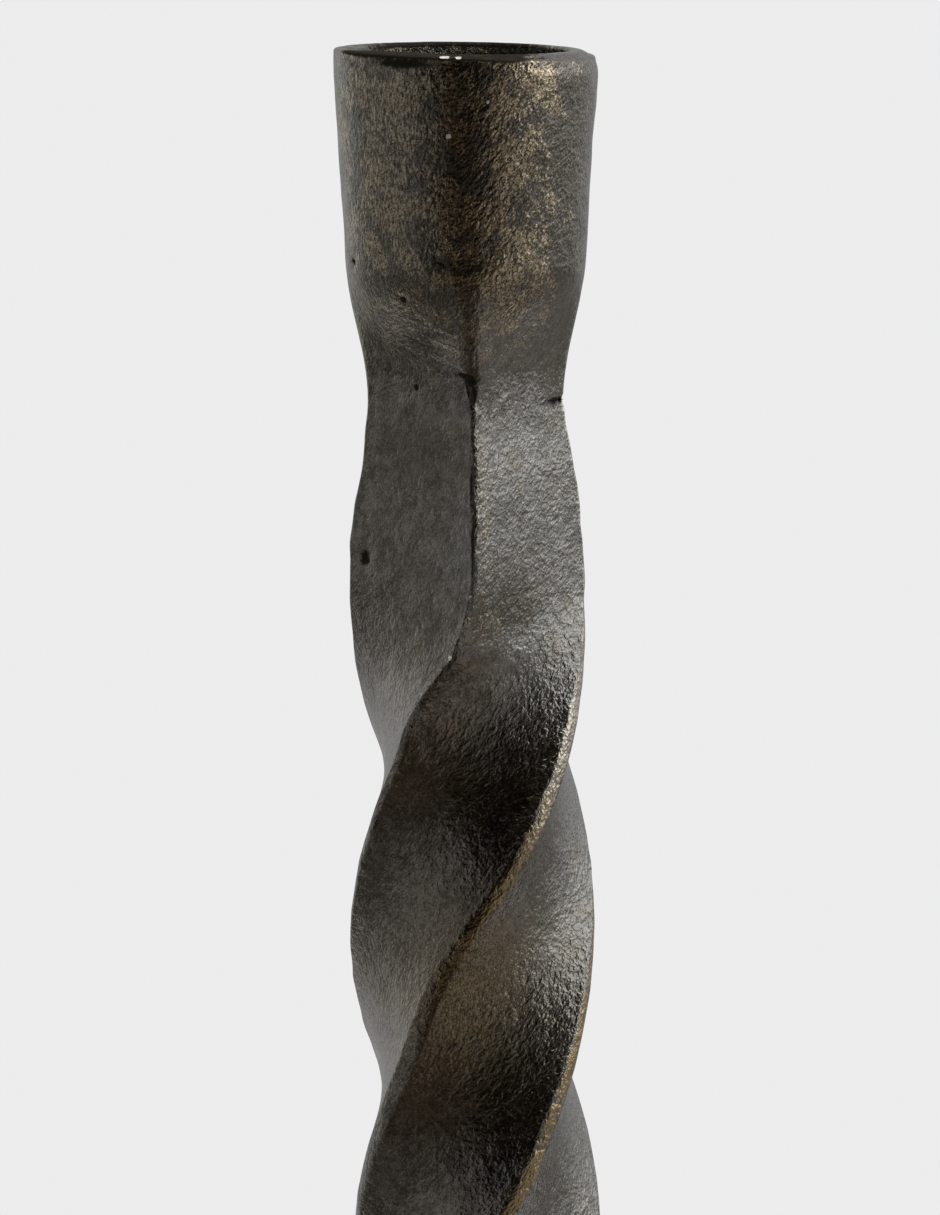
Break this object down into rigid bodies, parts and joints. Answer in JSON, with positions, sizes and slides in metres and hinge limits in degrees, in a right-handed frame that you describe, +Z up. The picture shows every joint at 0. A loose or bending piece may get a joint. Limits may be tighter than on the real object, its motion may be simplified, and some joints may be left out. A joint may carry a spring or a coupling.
{
  "type": "candle holder",
  "caption": "Tall cast holder for a taper candle: round socket cup on a square stem with a right-hand twist, flared round foot with a felt underside.",
  "frame": {"origin": "middle of the felt's underside, where the holder stands", "axes": "+Z up along the stem towards the candle; at both ends of the stem its corners lie on the X and Y axes"},
  "size_m": [0.1, 0.1, 0.3],
  "materials": {
    "cast_bronze_finish": "sand-cast, dark bronze patina rubbed through on the edges",
    "steel": "zinc plated",
    "felt": "black pressed felt"
  },
  "bodies": {
    "root": {"candle_cup": "cast_bronze_finish", "twisted_stem": "cast_bronze_finish", "foot": "cast_bronze_finish", "cup_screw": "steel", "foot_bolt": "steel", "plain_washer": "steel", "spring_washer": "steel", "felt_pad": "felt"}
  },
  "joints": []
}
